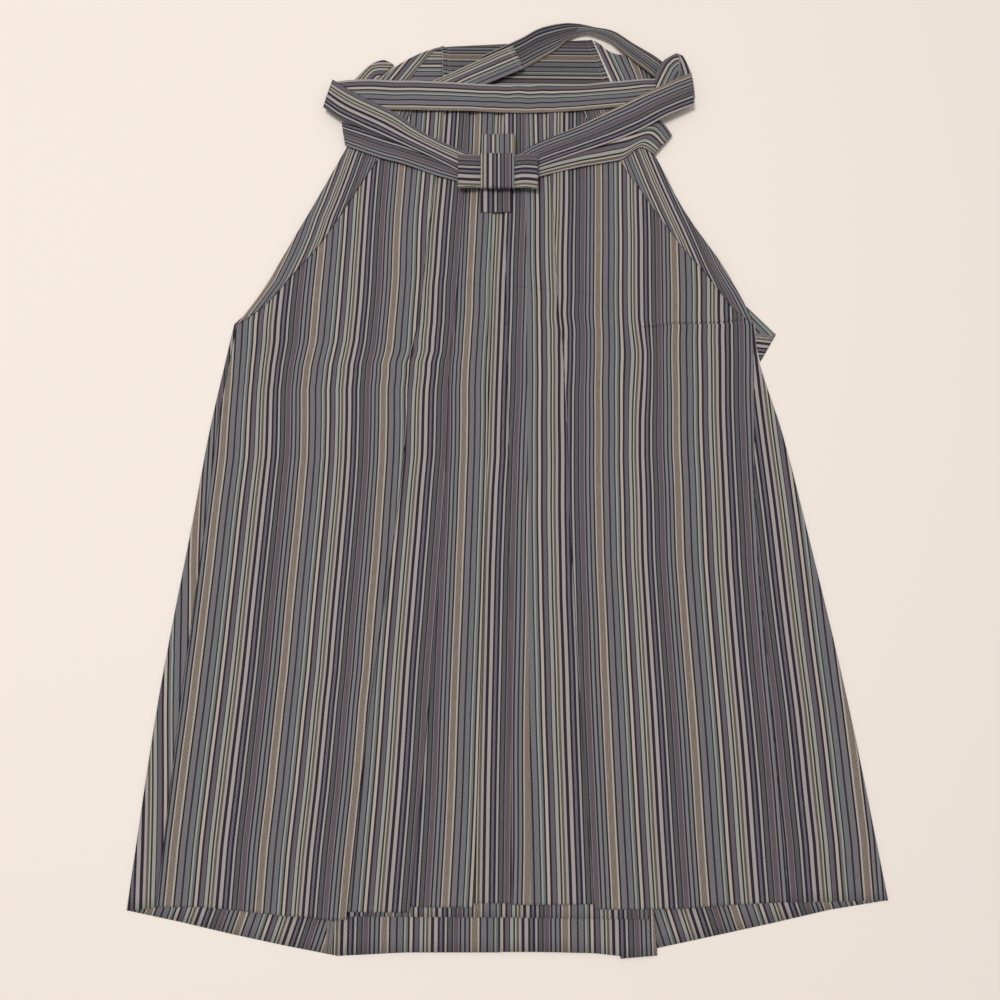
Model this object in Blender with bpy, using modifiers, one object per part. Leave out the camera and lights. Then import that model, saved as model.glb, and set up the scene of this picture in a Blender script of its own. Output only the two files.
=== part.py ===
"""Hakama: pleated wrap trousers laid flat with the front up, waist towards +Y.

Sizes are in millimetres, worked from the centre front line (X = 0) and the front hem (Y = 0),
and turned into metres as each piece is made. Left is -X.
"""
import math

import bmesh
import bpy
from mathutils import Vector
from mathutils.bvhtree import BVHTree

for old in list(bpy.data.objects):
    bpy.data.objects.remove(old, do_unlink=True)

MM = 0.001

# ---- Cloth ----
CLOTH = 1.0                # wall of one layer of cloth
TIE = 1.6                  # a tie: the cloth folded on itself and pressed
BOARD = 4.0                # the stiff board with its cover
GAP = 0.3                  # between pieces and between layers
LAYER = CLOTH + GAP        # rise from one layer to the next
FOLD = LAYER / 2           # middle radius of a pressed fold
FOLD_OUT = FOLD + CLOTH / 2

# ---- Lengths up the garment, from the front hem ----
FRONT_TOP = 935            # under the front band
BACK_TOP = 905             # where the back is sewn to its board
OPENING = 640              # bottom of the side openings
CROTCH = 430               # top of the inner panels
OPENING_RISE = 25          # over which the front climbs onto the back's turned edge
CROTCH_RISE = 80           # over which the front climbs onto the inner panels
BOARD_RISE = (850, 895)    # over which the front climbs onto the board

# ---- Lines up the garment: distance from centre front at each height ----
HEIGHTS = (0, 210, 410, 510, 597, OPENING, 750, 920)
LINES = {
    "fold_left":    (-388, -370, -345, -333, -319, -312, -208, -100),
    "seam_left":    (-357, -345, -330, -324, -314, -308, -200, -92),
    "edge_left":    (-357, -345, -330, -324, -314, -308, -239, -153),
    "pleat_1":      (-158, -139, -115, -107, -104, -95, -85, -68),
    "pleat_2":      (-93, -76, -63, -60, -58, -53, -46, -38),
    "pleat_3":      (-27, -21, -16, -14, -13, -12, -10, -7),
    "pleat_4":      (12, 11, 10, 9, 8, 7, 6, 5),
    "pleat_5":      (97, 86, 78, 76, 73, 69, 64, 59),
    "edge_right":   (300, 293, 287, 291, 295, 295, 241, 151),
    "seam_right":   (300, 293, 287, 291, 295, 295, 217, 132),
    "fold_right":   (404, 376, 342, 323, 301, 299, 225, 140),
    "stack_left":   (-167, -149, -129, -121, -115, -110, -99, -86),
    "stack_right":  (162, 147, 130, 123, 117, 113, 105, 95),
    "pleat_depth":  (32, 28, 24, 22, 20, 19, 16, 12),
}
STACK_SLOPE = (100, 92, 84, 80, 76, 72, 62, 48)   # width over which the front climbs the stack
PLEAT_SLOPE = (30, 26, 22, 20, 18, 17, 14, 10)    # width over which a pleat climbs

# ---- Side folds: inner edge of each, from the tip at the opening to the band ----
SIDE_FOLD_HEIGHTS = (638, 672, 702, 744, 851, 914)
SIDE_FOLD_INNER_LEFT = (-301, -268, -245, -212, -149, -108)
SIDE_FOLD_INNER_RIGHT = (288, 264, 244, 212, 144, 101)

# ---- Hem: how far each part of a row ends above (+) or below (-) the front hem line ----
# Two or more numbers run from the side towards the centre.
HEM = {
    "wrap_left": (-6, -3), "wrap_right": (4, 2),
    "front_left": (-2.6, -2.5, -2.5, -4.2, -6.4, -8.5, -10.9), "pleat_1": -13.5,
    "pleat_2": -6.5, "pleat_3": -1.6, "centre": 2, "pleat_4": 1,
    "front_right": (2.3, 1.3, 0.4, -0.7, -2.2, -3.5, -3.5), "pleat_5": -3.5,
    "inner": (-11, -14),
    "back_left": (-6, -17, -29, -40, -50), "back_left_hidden": -42,
    "back_right": (4, -6, -21, -34, -43), "back_right_hidden": -40,
    "back_middle_left": (-47, -46), "back_middle_right": (-52, -47),
}

# ---- Ties, in the order they lie: name, stations along, upper edge, lower edge (x, y) ----
TIES = (
    ("back_tie_right", 5, ((118, 1014), (150, 991), (184, 962), (192, 950)),
     ((119.5, 1009), (129, 985), (139, 958), (143, 944))),
    ("tie_loop_left", 6, ((-186, 956), (-164, 980), (-147, 988), (-130, 982), (-118, 978)),
     ((-184, 946), (-166, 962), (-148, 966), (-132, 962), (-121, 955))),
    ("back_tie_arc", 16, ((-22, 993), (25, 1017), (50, 1032), (80, 1039), (100, 1037), (117, 1032),
                          (142, 1026), (167, 1008), (200, 986), (216, 970)),
     ((-20, 948), (28, 974), (67, 999), (88, 1014), (102, 1018.5), (113, 1018), (133, 1009),
      (146, 995), (176, 976), (191, 960))),
    ("back_tie_end", 7, ((-105, 944), (-83, 955), (-33, 979), (16, 1004)),
     ((-38, 940), (-20, 948), (5, 959.5), (30, 971))),
    ("tie_lower_left", 10, ((-194, 903), (-153, 889), (-117, 876), (-85, 866), (-48, 851), (-27, 841)),
     ((-188, 868), (-149, 853), (-117, 843), (-81, 829), (-50, 819), (-30, 810))),
    ("tie_lower_right", 12, ((12, 837), (54, 859), (100, 878), (140, 892), (172, 902), (196, 903),
                             (210, 884)),
     ((24, 816), (47, 826), (96, 839), (129, 846), (149, 851), (170, 866), (187, 857))),
    ("front_band", 16, ((-207, 958), (-166, 959), (-77, 952), (5, 947), (74, 950), (144, 954), (182, 957)),
     ((-216, 919), (-165, 917), (-77, 913), (5, 911), (73, 913), (143, 919), (181, 924))),
    ("tie_turn_right", 6, ((190, 928), (191, 943), (192, 964), (202, 982), (218, 994)),
     ((240, 936), (239, 950), (237, 965), (233, 978), (227, 992))),
    ("tie_upper_left", 14, ((-206, 957), (-179, 938), (-134, 913), (-101, 889), (-68, 870), (-35, 855),
                            (-18, 847)),
     ((-216, 918), (-194, 902), (-153, 883), (-116, 866), (-84, 851), (-52, 834), (-30, 822))),
    ("tie_upper_right", 14, ((8, 846), (23, 855), (48, 871), (97, 893), (146, 919), (190, 941),
                             (235, 964)),
     ((22, 826), (47, 838), (97, 857), (129, 869), (163, 884), (196, 901), (237, 921))),
    ("knot_tab", 5, ((-22, 882), (-22, 866), (-22, 851), (-22, 838)),
     ((18, 882), (18, 866), (18, 851), (18, 838))),
    ("knot_tail", 5, ((-24, 820), (-24, 806), (-24, 792), (-24, 777)),
     ((14, 820), (14, 806), (14, 792), (14, 777))),
)
TIE_GAP = 0.4              # under a tie, so that it clears where it slopes
TIE_STEP = 0.22            # steepest slope of a tie that comes down off another piece
SIDE_TIE = (((290, 663), (306, 646), (323, 628)), ((299.2, 645), (302.2, 622), (303.2, 595)))

# ---- Back tie on the left: folded along its outer edge, the lower layer wider ----
BACK_TIE_OUTER = ((-153, 958), (-129, 981), (-100, 999), (-70, 1010))
BACK_TIE_UPPER = ((-116, 958), (-101, 979), (-87, 998), (-74, 1006.5))
BACK_TIE_LOWER = ((-72, 952), (-72, 970), (-73, 988), (-73.5, 1005))

# ---- Board: corners, left to right, bottom then top ----
BOARD_OUTLINE = ((-67, 905.4), (152, 905.4), (137, 957), (115.5, 1017), (-72, 1007), (-70, 957))
BOARD_EDGE = 1.0

# ---- Knot: a flattened loop under one turn of tie ----
KNOT_LEFT, KNOT_RIGHT = -51, 46
KNOT_TOP, KNOT_BOTTOM = 849, 807
WRAP_LEFT, WRAP_RIGHT = -23, 17
KNOT_LOOP = 3.4            # rise of the loop's upper layer over its lower one
KNOT_PINCH = 2.1           # the same under the turn of tie

# ---- Colours ----
CLOTH_COLOUR = (0.135, 0.125, 0.128)
TIE_COLOUR = (0.150, 0.135, 0.130)
SHADE_COLOUR = (0.105, 0.098, 0.102)
ROUGHNESS = 0.82


def at_height(values, y, heights=HEIGHTS):
    """The value of a line at height y: a smooth curve with a corner at the side openings."""
    y = min(max(y, heights[0]), heights[-1] + 60)
    i = 0
    while i < len(heights) - 2 and y > heights[i + 1]:
        i += 1
    span = heights[i + 1] - heights[i]
    rise = values[i + 1] - values[i]

    def slope(k):
        if k in (0, len(heights) - 1) or heights[k] == OPENING:
            return rise / span
        return (values[k + 1] - values[k - 1]) / (heights[k + 1] - heights[k - 1])

    t = (y - heights[i]) / span
    if t > 1:
        return values[i + 1] + rise * (t - 1)
    a = values[i] * (1 + 2 * t) * (1 - t) ** 2 + values[i + 1] * t * t * (3 - 2 * t)
    b = slope(i) * span * t * (1 - t) ** 2 - slope(i + 1) * span * t * t * (1 - t)
    return a + b


def line(name, y):
    return at_height(LINES[name], y)


def ease(t):
    """0 to 1, level at both ends."""
    t = min(max(t, 0.0), 1.0)
    return t * t * (3 - 2 * t)


def front_base(x, y):
    """Layers under the front at a point: the back, its middle stack, the inner panels."""
    width = at_height(STACK_SLOPE, y)
    from_left = ease((x - line("stack_left", y) + 8 + width) / width)
    from_right = ease((line("stack_right", y) + 8 + width - x) / width)
    middle = min(from_left, from_right)
    inner = ease((CROTCH + CROTCH_RISE - y) / CROTCH_RISE)
    edge = ease((y - OPENING + OPENING_RISE) / OPENING_RISE)
    over_board = (BOARD + GAP) / LAYER * ease((y - BOARD_RISE[0]) / (BOARD_RISE[1] - BOARD_RISE[0]))
    return max(1 + (2 + inner) * middle + edge * (1 - middle), over_board)


def front_point(x, y, level):
    return (x, y, CLOTH / 2 + LAYER * (front_base(x, y) + level))


def turn(x, y, side, upper, base):
    """The two points of a pressed fold whose outside is at x, from layer upper to upper - 1."""
    centre = x - side * FOLD_OUT
    z = CLOTH / 2 + LAYER * (base(centre, y) + upper - 0.5)
    out = centre + side * FOLD * math.cos(math.pi / 6)
    return [(out, y, z + FOLD / 2), (out, y, z - FOLD / 2)]


def on_floor(x, y):
    """Layers under the back: none, it lies on the floor."""
    return 0


def spread(a, b, n):
    return [a + (b - a) * i / (n - 1) for i in range(n)]


def pleats(y, edges, start, side):
    """One row of a front panel, from its side edge towards the centre.

    side is +1 on the left and -1 on the right, so it is the direction of the centre. Each pleat
    climbs two layers, turns at its edge, runs back under itself by the pleat's depth and turns
    again to go on towards the centre on the lowest layer.
    """
    depth = line("pleat_depth", y)
    slope = at_height(PLEAT_SLOPE, y)
    climb = edges[0] - side * (depth + 3)
    row = [front_point(x, y, 0) for x in spread(start, climb - side * slope, 6)]
    row.append(front_point(climb, y, 2))
    for k, edge in enumerate(edges):
        inside = edge - side * depth
        row.append(front_point(edge - side * FOLD_OUT, y, 2))
        row += turn(edge, y, side, 2, front_base)
        row.append(front_point(edge - side * FOLD_OUT, y, 1))
        last = k == len(edges) - 1
        if side < 0 and last:
            row.append(front_point(inside, y, 1))
            return row
        row.append(front_point(inside + side * FOLD_OUT, y, 1))
        row += turn(inside, y, -side, 1, front_base)
        row.append(front_point(inside + side * FOLD_OUT, y, 0))
        row.append(front_point(edge + side * 1.5, y, 0))
        if not last:
            row.append(front_point(edges[k + 1] - side * (depth + 3), y, 2))
    return row


SKIRT_ROWS = (OPENING, 615, 570, 510, CROTCH, 370, 300, 220, 140, 60, 0)
FRONT_ROWS = (FRONT_TOP, 895, 850, 805, 760, 710, 670) + SKIRT_ROWS
BACK_ROWS = (BACK_TOP, 830, 750, 690, 655) + SKIRT_ROWS


def lower_hem(rows, drops):
    """Moves each column's end to its own place, easing the move in over the last rows."""
    for row in rows:
        y = row[0][1]
        share = max(0.0, 1 - y / 210)
        for i, (px, py, pz) in enumerate(row):
            row[i] = (px, py + drops[i] * share, pz)
    return rows


def front_left():
    rows = []
    for y in FRONT_ROWS:
        edges = [line("pleat_1", y), line("pleat_2", y), line("pleat_3", y)]
        row = pleats(y, edges, line("edge_left", y) + GAP / 2, 1)
        end = line("pleat_4", y) + line("pleat_depth", y) - 2
        row.append(front_point(end, y, 0))
        rows.append(row)
    drops = list(HEM["front_left"]) + [HEM["pleat_1"]] * 6 + [HEM["pleat_2"]] * 10
    drops += [HEM["pleat_3"]] * 10 + [HEM["centre"]] * 4
    return lower_hem(rows, drops)


def front_right():
    rows = []
    for y in FRONT_ROWS:
        edges = [line("pleat_5", y), line("pleat_4", y)]
        rows.append(pleats(y, edges, line("edge_right", y) - GAP / 2, -1))
    drops = list(HEM["front_right"]) + [HEM["pleat_5"]] * 6 + [HEM["pleat_4"]] * 9
    return lower_hem(rows, drops)


def back(side, names, hems):
    """The back of one leg: round the side from the seam, under the front, to its centre pleat."""
    rows = []
    for y in BACK_ROWS:
        seam, fold, stack = (line(name, y) for name in names)
        inside = -side * (GAP / 2 + 0.6)
        row = [(seam - side * GAP / 2, y, CLOTH / 2 + LAYER)]
        row.append((fold + side * FOLD_OUT, y, CLOTH / 2 + LAYER))
        row += turn(fold, y, -side, 1, on_floor)
        row += [(x, y, CLOTH / 2) for x in spread(fold + side * FOLD_OUT, stack, 5)]
        row.append((inside - side * FOLD_OUT, y, CLOTH / 2))
        row += turn(inside, y, side, 1, on_floor)[::-1]
        row.append((inside - side * FOLD_OUT, y, CLOTH / 2 + LAYER))
        row.append((stack + side * FOLD_OUT, y, CLOTH / 2 + LAYER))
        row += turn(stack, y, -side, 2, on_floor)[::-1]
        row.append((stack + side * FOLD_OUT, y, CLOTH / 2 + 2 * LAYER))
        row.append((stack + side * 38, y, CLOTH / 2 + 2 * LAYER))
        row.append((-side * GAP / 2, y, CLOTH / 2 + 2 * LAYER))
        rows.append(row)
    wrap, floor, hidden, middle = hems
    drops = [wrap[1], wrap[0], wrap[0], wrap[0]] + list(floor)
    drops += [hidden] * 4 + [hidden, middle[0], middle[0], middle[0], middle[0], middle[1], middle[1]]
    return lower_hem(rows, drops)


def inner(side, edge):
    rows = []
    for y in (CROTCH - 5, 330, 220, 110, 0):
        outer = line(edge, y) + side * 8
        xs = spread(outer, -side * GAP / 2, 4)
        rows.append([(x, y, CLOTH / 2 + 3 * LAYER) for x in xs])
    outer_drop, drop = HEM["inner"][0 if side > 0 else 1], HEM["inner"][0]
    return lower_hem(rows, spread(outer_drop, drop - 1, 4))


def side_fold(edge, inner_edge):
    """A narrow fold that lies on a front panel beside its slanting edge."""
    rows = []
    for y in (FRONT_TOP - 10, 895, 850, 805, 760, 710, 670, 645):
        outer = line(edge, y)
        xs = spread(outer, at_height(inner_edge, y, SIDE_FOLD_HEIGHTS), 4)
        rows.append([front_point(x, y, 1) for x in xs])
    return rows


def along(points, n):
    """n points at equal steps along a smooth curve through the points."""
    fine = []
    for i in range(len(points) - 1):
        a = Vector(points[max(i - 1, 0)])
        b, c = Vector(points[i]), Vector(points[i + 1])
        d = Vector(points[min(i + 2, len(points) - 1)])
        for k in range(12):
            t = k / 12
            fine.append(((b * 2) + (c - a) * t + (a * 2 - b * 5 + c * 4 - d) * t * t
                         + (b * 3 - a - c * 3 + d) * t ** 3) / 2)
    fine.append(Vector(points[-1]))
    reach = [0.0]
    for p, q in zip(fine, fine[1:]):
        reach.append(reach[-1] + (q - p).length)
    out = []
    k = 0
    for i in range(n):
        want = reach[-1] * i / (n - 1)
        while k < len(fine) - 2 and reach[k + 1] < want:
            k += 1
        share = (want - reach[k]) / max(reach[k + 1] - reach[k], 1e-9)
        out.append(fine[k].lerp(fine[k + 1], min(max(share, 0.0), 1.0)))
    return out


def ribbon(upper, lower, stations, across=4):
    """A flat strip between two edges, as rows of points in plan."""
    rows = []
    for a, b in zip(along(upper, stations), along(lower, stations)):
        rows.append([a.lerp(b, i / (across - 1)) for i in range(across)])
    return rows


made = []                  # height trees of the pieces already laid


def top_under(x, y):
    """Height of the highest surface at a point, or 0 for the floor."""
    best = 0.0
    for tree in made:
        hit = tree.ray_cast(Vector((x * MM, y * MM, 1.0)), Vector((0, 0, -1)))
        if hit[0] is not None:
            best = max(best, hit[0].z / MM)
    return best


def lay(rows, thickness):
    """Lays a strip on what is already there, so that every face clears all beneath it."""
    reach = 0.0
    for a, b in zip(rows, rows[1:]):
        for i in range(len(a) - 1):
            reach = max(reach, (a[i] - b[i + 1]).length + 1, (a[i + 1] - b[i]).length + 1)
    heights = []
    for row in rows:
        for p in row:
            best = top_under(p.x, p.y)
            for ring in (0.2, 0.4, 0.6, 0.8, 1.0):
                for k in range(16):
                    turn_by = math.tau * k / 16
                    x = p.x + ring * reach * math.cos(turn_by)
                    y = p.y + ring * reach * math.sin(turn_by)
                    best = max(best, top_under(x, y))
            heights.append((p, best + TIE_GAP if best > 0 else 0.0))
    laid = []
    for row in rows:
        laid.append([])
        for p in row:
            z = max(h - TIE_STEP * (p - q).length for q, h in heights)
            laid[-1].append((p.x, p.y, max(z, 0.0) + thickness / 2))
    return laid


collection = bpy.data.collections.new("hakama")
bpy.context.scene.collection.children.link(collection)
root = bpy.data.objects.new("hakama", None)
collection.objects.link(root)


def add_object(name, mesh, colour):
    obj = bpy.data.objects.new(name, mesh)
    collection.objects.link(obj)
    obj.parent = root
    material = bpy.data.materials.new(name)
    material.use_nodes = True
    shader = material.node_tree.nodes["Principled BSDF"]
    shader.inputs["Base Color"].default_value = (*colour, 1)
    shader.inputs["Roughness"].default_value = ROUGHNESS
    shader.inputs["Metallic"].default_value = 0.0
    mesh.materials.append(material)
    return obj


def keep_height(obj):
    bpy.context.view_layer.update()
    made.append(BVHTree.FromObject(obj, bpy.context.evaluated_depsgraph_get()))


def cloth(name, rows, colour, thickness=CLOTH):
    """A wall of cloth: a loft through rows of points, thickened to both sides."""
    bm = bmesh.new()
    grid = [[bm.verts.new((x * MM, y * MM, z * MM)) for x, y, z in row] for row in rows]
    for upper, lower in zip(grid, grid[1:]):
        for i in range(len(upper) - 1):
            bm.faces.new((upper[i], lower[i], lower[i + 1], upper[i + 1]))
    mesh = bpy.data.meshes.new(name)
    bm.to_mesh(mesh)
    bm.free()
    obj = add_object(name, mesh, colour)
    mesh.shade_smooth()
    wall = obj.modifiers.new("Wall", "SOLIDIFY")
    wall.thickness = thickness * MM
    wall.offset = 0
    keep_height(obj)
    return obj


def board():
    """The stiff board, an extruded outline with eased edges."""
    bm = bmesh.new()
    face = bm.faces.new([bm.verts.new((x * MM, y * MM, 0)) for x, y in BOARD_OUTLINE])
    lifted = bmesh.ops.extrude_face_region(bm, geom=[face])
    up = [v for v in lifted["geom"] if isinstance(v, bmesh.types.BMVert)]
    bmesh.ops.translate(bm, verts=up, vec=(0, 0, BOARD * MM))
    bmesh.ops.recalc_face_normals(bm, faces=bm.faces)
    mesh = bpy.data.meshes.new("back_board")
    bm.to_mesh(mesh)
    bm.free()
    obj = add_object("back_board", mesh, TIE_COLOUR)
    ease_edges = obj.modifiers.new("Edges", "BEVEL")
    ease_edges.width = BOARD_EDGE * MM
    ease_edges.segments = 2
    keep_height(obj)


def folded_tie():
    """The left back tie: its lower layer, the fold along its outer edge, its upper layer."""
    rows = []
    outer, upper = along(BACK_TIE_OUTER, 6), along(BACK_TIE_UPPER, 6)
    lower = along(BACK_TIE_LOWER, 6)
    for o, u, w in zip(outer, upper, lower):
        inward = (w - o).normalized()
        start = o + inward * FOLD_OUT
        tip = o + inward * (FOLD_OUT - FOLD * math.cos(math.pi / 6))
        end = o + (u - o).normalized() * FOLD_OUT
        low, high = CLOTH / 2, CLOTH / 2 + LAYER
        row = [(*w, low), (*w.lerp(start, 0.5), low), (*start, low)]
        row += [(*tip, low + FOLD / 2), (*tip, high - FOLD / 2)]
        row += [(*end, high), (*end.lerp(u, 0.5), high), (*u, high)]
        rows.append(row)
    cloth("back_tie_left", rows, TIE_COLOUR)


def knot_bar():
    """A tie folded to a flat loop on each side, open along its middle underneath."""
    base = 0.0
    for x in spread(KNOT_LEFT, KNOT_RIGHT, 20):
        for y in spread(KNOT_BOTTOM, KNOT_TOP, 10):
            base = max(base, top_under(x, y))
    low = base + GAP + TIE / 2
    profile = [(-3.2, low), (-14, low), (KNOT_LEFT + 3.2, low), (KNOT_LEFT + 1.3, low + 0.8),
               (KNOT_LEFT + 0.8, low + 0.5 * KNOT_LOOP), (KNOT_LEFT + 1.5, low + 0.8 * KNOT_LOOP),
               (KNOT_LEFT + 5, low + KNOT_LOOP), (WRAP_LEFT - 8, low + KNOT_LOOP),
               (WRAP_LEFT + 2, low + KNOT_PINCH), (WRAP_RIGHT - 2, low + KNOT_PINCH),
               (WRAP_RIGHT + 8, low + KNOT_LOOP), (KNOT_RIGHT - 5, low + KNOT_LOOP),
               (KNOT_RIGHT - 1.5, low + 0.8 * KNOT_LOOP), (KNOT_RIGHT - 0.8, low + 0.5 * KNOT_LOOP),
               (KNOT_RIGHT - 1.3, low + 0.8), (KNOT_RIGHT - 3.2, low), (8, low), (-1.2, low)]
    ys = spread(KNOT_TOP, KNOT_BOTTOM, 4)
    cloth("knot_bar", [[(x, y, z) for x, z in profile] for y in ys], TIE_COLOUR, TIE)
    return low


def knot_wrap(low):
    """The turn of tie over the middle of the loop, down to the cloth above and below it."""
    high = low + KNOT_PINCH + TIE / 2 + GAP + TIE / 2
    rim = low + KNOT_LOOP + TIE + GAP
    foot = low + 0.4
    out = TIE / 2 + 0.8
    path = [(KNOT_TOP + out, foot), (KNOT_TOP + out, high - 1.2), (KNOT_TOP + out - 1, high - 0.2),
            (KNOT_TOP - 3, rim - 0.5), (KNOT_TOP - 21, rim - 0.2), (KNOT_BOTTOM + 3, rim - 0.5),
            (KNOT_BOTTOM - out + 1, high - 0.2), (KNOT_BOTTOM - out, high - 1.2),
            (KNOT_BOTTOM - out, foot)]
    xs = spread(WRAP_LEFT, WRAP_RIGHT, 4)
    cloth("knot_wrap", [[(x, y, z) for x in xs] for y, z in path], TIE_COLOUR, TIE)


cloth("back_panel_left", back(1, ("seam_left", "fold_left", "stack_left"),
                              (HEM["wrap_left"], HEM["back_left"], HEM["back_left_hidden"],
                               HEM["back_middle_left"])), SHADE_COLOUR)
cloth("back_panel_right", back(-1, ("seam_right", "fold_right", "stack_right"),
                               (HEM["wrap_right"], HEM["back_right"], HEM["back_right_hidden"],
                                HEM["back_middle_right"])), SHADE_COLOUR)
cloth("inner_panel_left", inner(1, "stack_left"), SHADE_COLOUR)
cloth("inner_panel_right", inner(-1, "stack_right"), SHADE_COLOUR)
cloth("front_panel_left", front_left(), CLOTH_COLOUR)
cloth("front_panel_right", front_right(), CLOTH_COLOUR)
cloth("side_fold_left", side_fold("edge_left", SIDE_FOLD_INNER_LEFT), CLOTH_COLOUR)
cloth("side_fold_right", side_fold("edge_right", SIDE_FOLD_INNER_RIGHT), CLOTH_COLOUR)
board()
side_rows = ribbon(SIDE_TIE[0], SIDE_TIE[1], 4, 3)
cloth("side_tie_end", [[(p.x, p.y, TIE / 2) for p in row] for row in side_rows], TIE_COLOUR, TIE)
folded_tie()
for tie_name, stations, upper_edge, lower_edge in TIES:
    strip = lay(ribbon(upper_edge, lower_edge, stations), TIE)
    cloth(tie_name, strip, TIE_COLOUR, TIE)
knot_wrap(knot_bar())

# ---- The origin is under the middle of the whole ----
bpy.context.view_layer.update()
graph = bpy.context.evaluated_depsgraph_get()
corners = []
for piece in collection.objects:
    if piece.type == "MESH":
        shape = piece.evaluated_get(graph)
        corners += [shape.matrix_world @ v.co for v in shape.data.vertices]
low_corner = [min(c[k] for c in corners) for k in range(3)]
high_corner = [max(c[k] for c in corners) for k in range(3)]
root.location = (-(low_corner[0] + high_corner[0]) / 2, -(low_corner[1] + high_corner[1]) / 2,
                 -low_corner[2])
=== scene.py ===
"""Hakama laid flat with the front up: cloth shells, stripes, stitches, floor, light and camera.

Sizes are in millimetres from the centre front line (x = 0) and the front hem (y = 0), as in the
model's own source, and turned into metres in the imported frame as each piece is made.
"""
import math

import bmesh
import bpy
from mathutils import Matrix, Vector
from mathutils.bvhtree import BVHTree


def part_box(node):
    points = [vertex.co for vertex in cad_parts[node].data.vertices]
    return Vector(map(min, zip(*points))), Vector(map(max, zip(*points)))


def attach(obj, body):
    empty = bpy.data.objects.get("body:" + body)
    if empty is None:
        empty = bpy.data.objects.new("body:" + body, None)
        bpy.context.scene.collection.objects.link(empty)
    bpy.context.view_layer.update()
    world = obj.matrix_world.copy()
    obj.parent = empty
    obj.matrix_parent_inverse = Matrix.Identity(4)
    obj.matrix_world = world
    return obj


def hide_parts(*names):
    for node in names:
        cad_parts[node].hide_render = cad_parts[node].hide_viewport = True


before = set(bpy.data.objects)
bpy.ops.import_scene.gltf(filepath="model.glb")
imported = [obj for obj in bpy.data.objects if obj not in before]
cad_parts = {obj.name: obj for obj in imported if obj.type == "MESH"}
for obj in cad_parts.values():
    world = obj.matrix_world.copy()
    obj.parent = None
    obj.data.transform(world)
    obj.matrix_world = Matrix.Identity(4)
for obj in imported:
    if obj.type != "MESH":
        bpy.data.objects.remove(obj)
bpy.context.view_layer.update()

MM = 0.001
SHIFT = (-8.0, -493.2)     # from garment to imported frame

# ---- The model's own sizes ----
CLOTH, TIE, BOARD, GAP = 1.0, 1.6, 4.0, 0.3
LAYER = CLOTH + GAP
FOLD = LAYER / 2
FOLD_OUT = FOLD + CLOTH / 2
FRONT_TOP, BACK_TOP, OPENING, CROTCH = 935, 905, 640, 430
OPENING_RISE, CROTCH_RISE, BOARD_RISE = 25, 80, (850, 895)
# thickness shown: one layer of cloth, a tie, the folded tie, the knot's strips, the board
SHELL, TIE_SHELL, FOLDED_TIE_SHELL, KNOT_SHELL, BOARD_SHELL = 0.55, 1.3, 0.6, 1.2, BOARD - 0.5

HEIGHTS = (0, 210, 410, 510, 597, OPENING, 750, 920)
LINES = {
    "fold_left":    (-388, -370, -345, -333, -319, -312, -208, -100),
    "seam_left":    (-357, -345, -330, -324, -314, -308, -200, -92),
    "edge_left":    (-357, -345, -330, -324, -314, -308, -239, -153),
    "pleat_1":      (-158, -139, -115, -107, -104, -95, -85, -68),
    "pleat_2":      (-93, -76, -63, -60, -58, -53, -46, -38),
    "pleat_3":      (-27, -21, -16, -14, -13, -12, -10, -7),
    "pleat_4":      (12, 11, 10, 9, 8, 7, 6, 5),
    "pleat_5":      (97, 86, 78, 76, 73, 69, 64, 59),
    "edge_right":   (300, 293, 287, 291, 295, 295, 241, 151),
    "seam_right":   (300, 293, 287, 291, 295, 295, 217, 132),
    "fold_right":   (404, 376, 342, 323, 301, 299, 225, 140),
    "stack_left":   (-167, -149, -129, -121, -115, -110, -99, -86),
    "stack_right":  (162, 147, 130, 123, 117, 113, 105, 95),
    "pleat_depth":  (32, 28, 24, 22, 20, 19, 16, 12),
}
STACK_SLOPE = (100, 92, 84, 80, 76, 72, 62, 48)
PLEAT_SLOPE = (30, 26, 22, 20, 18, 17, 14, 10)
SIDE_FOLD_HEIGHTS = (638, 672, 702, 744, 851, 914)
SIDE_FOLD_INNER = {"left": (-301, -268, -245, -212, -149, -108), "right": (288, 264, 244, 212, 144, 101)}
HEM = {
    "wrap_left": (-6, -3), "wrap_right": (4, 2),
    "front_left": (-2.6, -2.5, -2.5, -4.2, -6.4, -8.5, -10.9), "pleat_1": -13.5,
    "pleat_2": -6.5, "pleat_3": -1.6, "centre": 2, "pleat_4": 1,
    "front_right": (2.3, 1.3, 0.4, -0.7, -2.2, -3.5, -3.5), "pleat_5": -3.5,
    "inner": (-11, -14),
    "back_left": (-6, -17, -29, -40, -50), "back_hidden_left": -42,
    "back_right": (4, -5.2, -18.2, -30.4, -42.5), "back_hidden_right": -40,
    "back_middle_left": (-47, -47, -46, -46), "back_middle_right": (-49, -52, -46.6, -45.6),
}
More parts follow.
